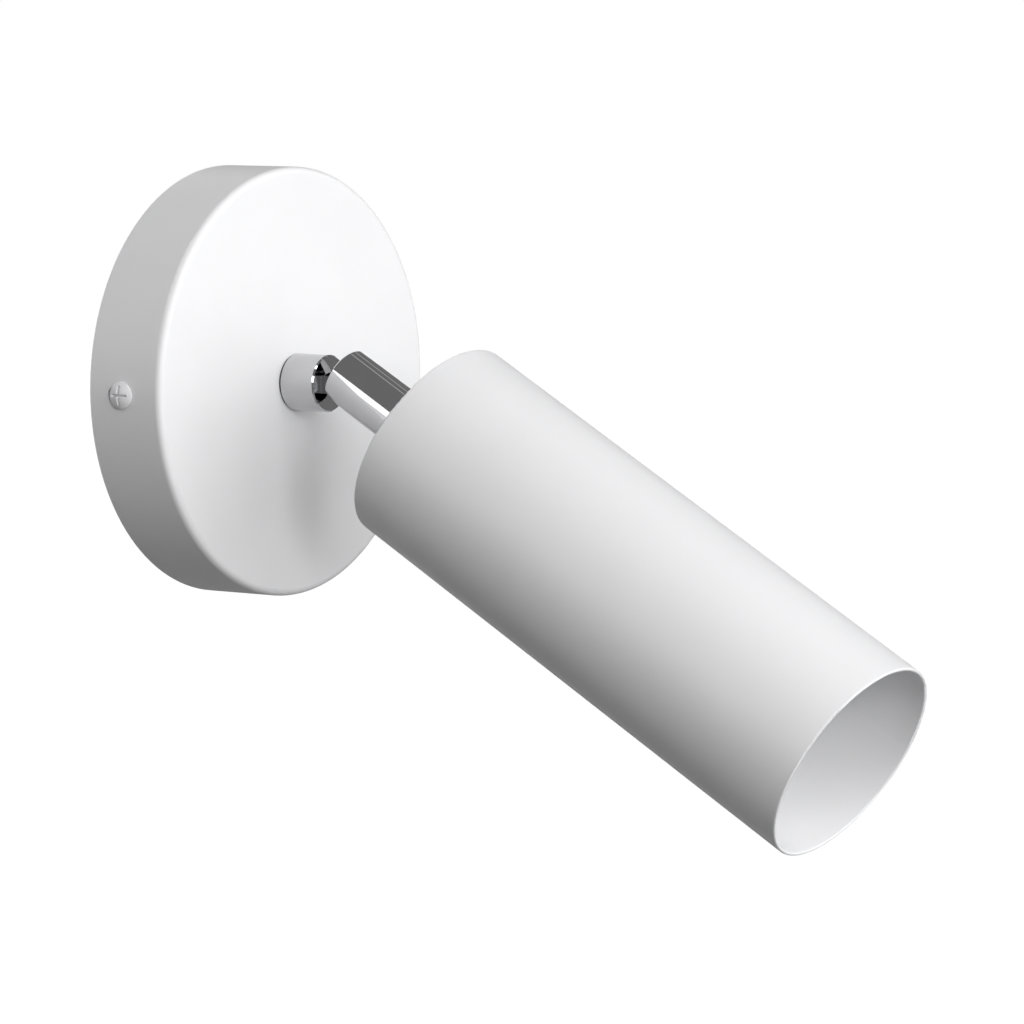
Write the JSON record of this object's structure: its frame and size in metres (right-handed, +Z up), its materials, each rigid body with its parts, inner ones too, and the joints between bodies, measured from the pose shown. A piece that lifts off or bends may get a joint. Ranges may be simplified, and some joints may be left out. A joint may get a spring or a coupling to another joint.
{
  "type": "pivoting spotlight wall light",
  "caption": "Wall spotlight: a round white cover on a wall bracket carries a turning and tilting metal joint with a long white tube shade and a deep-set twist-lock lamp.",
  "frame": {"origin": "centre of the wall face, midway between the two fixing slots, on the plane that lies against the wall", "axes": "+Y into the wall, +Z up, +X to the right as seen from the room; the light stands out along -Y"},
  "size_m": [0.1234, 0.221, 0.178],
  "materials": {
    "white_paint": "satin white powder coat",
    "chrome": "polished chrome plate",
    "zinc_plate": "bright zinc plate on steel",
    "spring_steel": "plain spring steel",
    "brass": "turned brass",
    "block_plastic": "moulded insulating plastic",
    "black_fibre": "black fibre washer",
    "brown_sleeving": "brown wire insulation",
    "blue_sleeving": "blue wire insulation",
    "green_sleeving": "green and yellow wire insulation",
    "white_sleeving": "woven heatproof sleeving",
    "holder_ceramic": "unglazed ceramic",
    "lamp_plastic": "white moulded plastic",
    "lamp_metal": "nickel plated pins",
    "board": "white solder mask",
    "lens_glass": "clear crowned lens"
  },
  "bodies": {
    "wall_base": {"wall_bracket": "zinc_plate", "cover": "white_paint", "cover_screws": "white_paint", "terminal_block": "block_plastic", "terminal_sleeves": "brass", "terminal_screws": "zinc_plate", "block_screws": "zinc_plate", "earth_screw": "zinc_plate", "earth_washer": "brass", "lead_live": "brown_sleeving", "lead_neutral": "blue_sleeving", "lead_earth": "green_sleeving"},
    "swivel": {"base_washer": "black_fibre", "joint_stem": "chrome", "swivel_nipple": "zinc_plate", "stop_washer": "zinc_plate", "spring_washer": "spring_steel", "swivel_nuts": "zinc_plate", "joint_tongue": "chrome"},
    "spot_head": {"joint_sleeve": "chrome", "hinge_pin": "chrome", "hinge_washers": "black_fibre", "head_nipple": "zinc_plate", "shade_end_disc": "white_paint", "shade_tube": "white_paint", "lock_washer": "spring_steel", "head_nuts": "zinc_plate", "holder_bracket": "zinc_plate", "holder_screws": "zinc_plate", "lampholder_body": "holder_ceramic", "lampholder_face": "holder_ceramic", "lampholder_contacts": "brass", "head_leads": "white_sleeving"},
    "lamp": {"lamp_cap": "lamp_plastic", "lamp_pins": "lamp_metal", "lamp_housing": "lamp_plastic", "lamp_board": "board", "lamp_lens": "lens_glass"}
  },
  "joints": [
    {"name": "head_swivel", "type": "hinge", "parent": "wall_base", "child": "swivel", "pos_m": [0, -0.0249, 0], "axis": [0, -1, 0], "range_deg": [-165, 165]},
    {"name": "head_tilt", "type": "hinge", "parent": "swivel", "child": "spot_head", "pos_m": [0, -0.0463, 0], "axis": [1, 0, 0], "range_deg": [-50, 44]},
    {"name": "lamp_twist", "type": "hinge", "parent": "spot_head", "child": "lamp", "pos_m": [0, -0.0463, 0], "axis": [0, -0.866, -0.5], "range_deg": [0, 25]}
  ]
}
